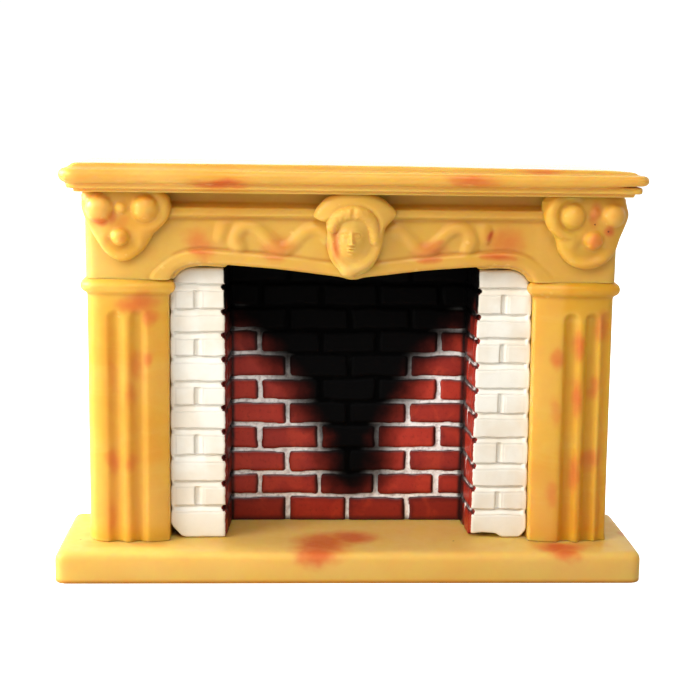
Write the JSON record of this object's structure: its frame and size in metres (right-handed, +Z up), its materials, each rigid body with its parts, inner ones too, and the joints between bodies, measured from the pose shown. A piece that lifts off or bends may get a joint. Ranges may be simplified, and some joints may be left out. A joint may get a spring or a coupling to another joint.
{
  "type": "miniature fireplace mantel",
  "caption": "Dolls' house fireplace with a marbled cast surround, fluted pilasters, stepped shelf, planted ornaments and a sooted painted-brick firebox.",
  "frame": {"origin": "centre of the underside of the hearth slab, which is the bottom centre of the bounding box", "axes": "+X to the right seen from the front, -Y out of the fireplace towards the viewer, +Y towards the wall, +Z up"},
  "size_m": [0.1458, 0.035, 0.1026],
  "materials": {
    "marbled_resin": "cast resin imitating onyx, ivory yellow with soft coral blotches, satin sheen",
    "white_brick_paint": "cast resin brick painted off-white, semi-matt",
    "red_brick_paint": "cast resin brick painted red with pale wiped joints, glossy",
    "soot_black_paint": "airbrushed black"
  },
  "bodies": {
    "root": {"hearth_slab": "marbled_resin", "left_pilaster": "marbled_resin", "right_pilaster": "marbled_resin", "frieze": "marbled_resin", "mantel_shelf": "marbled_resin", "left_cartouche": "marbled_resin", "right_cartouche": "marbled_resin", "mask_ornament": "marbled_resin", "left_brick_slip": "white_brick_paint", "right_brick_slip": "white_brick_paint", "left_firebox_cheek": "red_brick_paint", "right_firebox_cheek": "red_brick_paint", "firebox_back": "red_brick_paint", "firebox_throat_plate": "soot_black_paint"}
  },
  "joints": []
}
